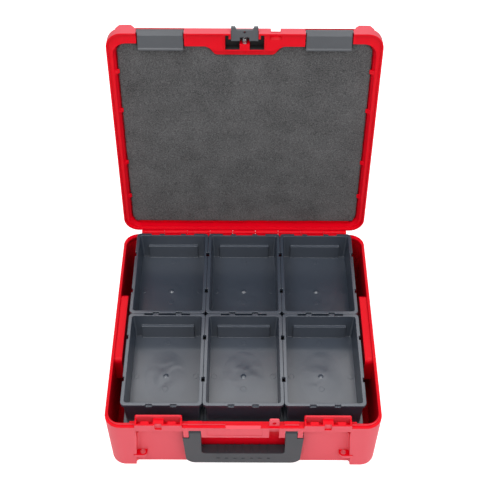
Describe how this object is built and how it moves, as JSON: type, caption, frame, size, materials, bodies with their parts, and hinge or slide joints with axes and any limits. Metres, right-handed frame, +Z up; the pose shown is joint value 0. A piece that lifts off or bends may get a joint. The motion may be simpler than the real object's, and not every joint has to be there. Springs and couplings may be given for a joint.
{
  "type": "tool case",
  "caption": "Moulded carrying case with a hinged foam-lined lid, snap latches, a folding handle, a sprung push button and stacked lift-out bins.",
  "frame": {"origin": "middle of the base's flat underside", "axes": "+Z up, -Y towards the handle, +X to the right"},
  "size_m": [0.44, 0.4846, 0.5433],
  "materials": {
    "red_shell": "fine satin moulded",
    "bin_plastic": "satin moulded",
    "dark_plastic": "satin moulded",
    "handle_plastic": "satin moulded",
    "foam": "open-cell foam",
    "steel": "drawn"
  },
  "bodies": {
    "base": {"base_shell": "red_shell", "handle_pin_left": "steel", "handle_pin_right": "steel", "hinge_pin": "steel"},
    "lid": {"lid_shell": "red_shell", "lid_foam": "foam", "lock_plate": "dark_plastic", "lock_spring": "steel"},
    "latch_pin_left": {"latch_pin_left": "steel"},
    "latch_pin_right": {"latch_pin_right": "steel"},
    "latch_left": {"latch_left": "dark_plastic"},
    "latch_right": {"latch_right": "dark_plastic"},
    "handle": {"handle": "handle_plastic"},
    "lock_button": {"lock_button": "dark_plastic"},
    "bin_lower_front_left": {"bin_lower_front_left": "bin_plastic"},
    "bin_lower_front_middle": {"bin_lower_front_middle": "bin_plastic"},
    "bin_lower_front_right": {"bin_lower_front_right": "bin_plastic"},
    "bin_lower_back_left": {"bin_lower_back_left": "bin_plastic"},
    "bin_lower_back_middle": {"bin_lower_back_middle": "bin_plastic"},
    "bin_lower_back_right": {"bin_lower_back_right": "bin_plastic"},
    "bin_upper_front_left": {"bin_upper_front_left": "bin_plastic"},
    "bin_upper_front_middle": {"bin_upper_front_middle": "bin_plastic"},
    "bin_upper_front_right": {"bin_upper_front_right": "bin_plastic"},
    "bin_upper_back_left": {"bin_upper_back_left": "bin_plastic"},
    "bin_upper_back_middle": {"bin_upper_back_middle": "bin_plastic"},
    "bin_upper_back_right": {"bin_upper_back_right": "bin_plastic"}
  },
  "joints": [
    {"name": "lid_hinge", "type": "hinge", "parent": "base", "child": "lid", "pos_m": [0, 0.211, 0.12], "axis": [-1, 0, 0], "range_deg": [-95.6, 0]},
    {"name": "handle_hinge", "type": "hinge", "parent": "base", "child": "handle", "pos_m": [0, -0.2005, 0.103], "axis": [-1, 0, 0], "range_deg": [0, 100]},
    {"name": "button_push", "type": "slide", "parent": "lid", "child": "lock_button", "axis": [0, -0.0976, -0.9952], "range_m": [0, 0.0045], "stiffness_N_per_m": 400, "springref_m": -0.004, "deforming": ["lock_spring"]},
    {"name": "latch_pin_left_hang", "type": "hinge", "parent": "lid", "child": "latch_pin_left", "pos_m": [-0.1335, 0.26324, 0.52986], "axis": [-1, 0, 0], "range_deg": [0, 95.6]},
    {"name": "latch_left_swing", "type": "hinge", "parent": "latch_pin_left", "child": "latch_left", "pos_m": [-0.1335, 0.26324, 0.52986], "axis": [-1, 0, 0], "range_deg": [-10, 95]},
    {"name": "latch_pin_right_hang", "type": "hinge", "parent": "lid", "child": "latch_pin_right", "pos_m": [0.1335, 0.26324, 0.52986], "axis": [-1, 0, 0], "range_deg": [0, 95.6]},
    {"name": "latch_right_swing", "type": "hinge", "parent": "latch_pin_right", "child": "latch_right", "pos_m": [0.1335, 0.26324, 0.52986], "axis": [-1, 0, 0], "range_deg": [-10, 95]},
    {"name": "bin_lower_front_left_lift", "type": "slide", "parent": "base", "child": "bin_lower_front_left", "axis": [0, 0, 1], "range_m": [0, 0.14]},
    {"name": "bin_lower_front_middle_lift", "type": "slide", "parent": "base", "child": "bin_lower_front_middle", "axis": [0, 0, 1], "range_m": [0, 0.14]},
    {"name": "bin_lower_front_right_lift", "type": "slide", "parent": "base", "child": "bin_lower_front_right", "axis": [0, 0, 1], "range_m": [0, 0.14]},
    {"name": "bin_lower_back_left_lift", "type": "slide", "parent": "base", "child": "bin_lower_back_left", "axis": [0, 0, 1], "range_m": [0, 0.14]},
    {"name": "bin_lower_back_middle_lift", "type": "slide", "parent": "base", "child": "bin_lower_back_middle", "axis": [0, 0, 1], "range_m": [0, 0.14]},
    {"name": "bin_lower_back_right_lift", "type": "slide", "parent": "base", "child": "bin_lower_back_right", "axis": [0, 0, 1], "range_m": [0, 0.14]},
    {"name": "bin_upper_front_left_lift", "type": "slide", "parent": "bin_lower_front_left", "child": "bin_upper_front_left", "axis": [0, 0, 1], "range_m": [0, 0.08]},
    {"name": "bin_upper_front_middle_lift", "type": "slide", "parent": "bin_lower_front_middle", "child": "bin_upper_front_middle", "axis": [0, 0, 1], "range_m": [0, 0.08]},
    {"name": "bin_upper_front_right_lift", "type": "slide", "parent": "bin_lower_front_right", "child": "bin_upper_front_right", "axis": [0, 0, 1], "range_m": [0, 0.08]},
    {"name": "bin_upper_back_left_lift", "type": "slide", "parent": "bin_lower_back_left", "child": "bin_upper_back_left", "axis": [0, 0, 1], "range_m": [0, 0.08]},
    {"name": "bin_upper_back_middle_lift", "type": "slide", "parent": "bin_lower_back_middle", "child": "bin_upper_back_middle", "axis": [0, 0, 1], "range_m": [0, 0.08]},
    {"name": "bin_upper_back_right_lift", "type": "slide", "parent": "bin_lower_back_right", "child": "bin_upper_back_right", "axis": [0, 0, 1], "range_m": [0, 0.08]}
  ],
  "couplings": [
    {"joint": "latch_pin_left_hang", "follows": "lid_hinge", "ratio": -1},
    {"joint": "latch_pin_right_hang", "follows": "lid_hinge", "ratio": -1}
  ]
}
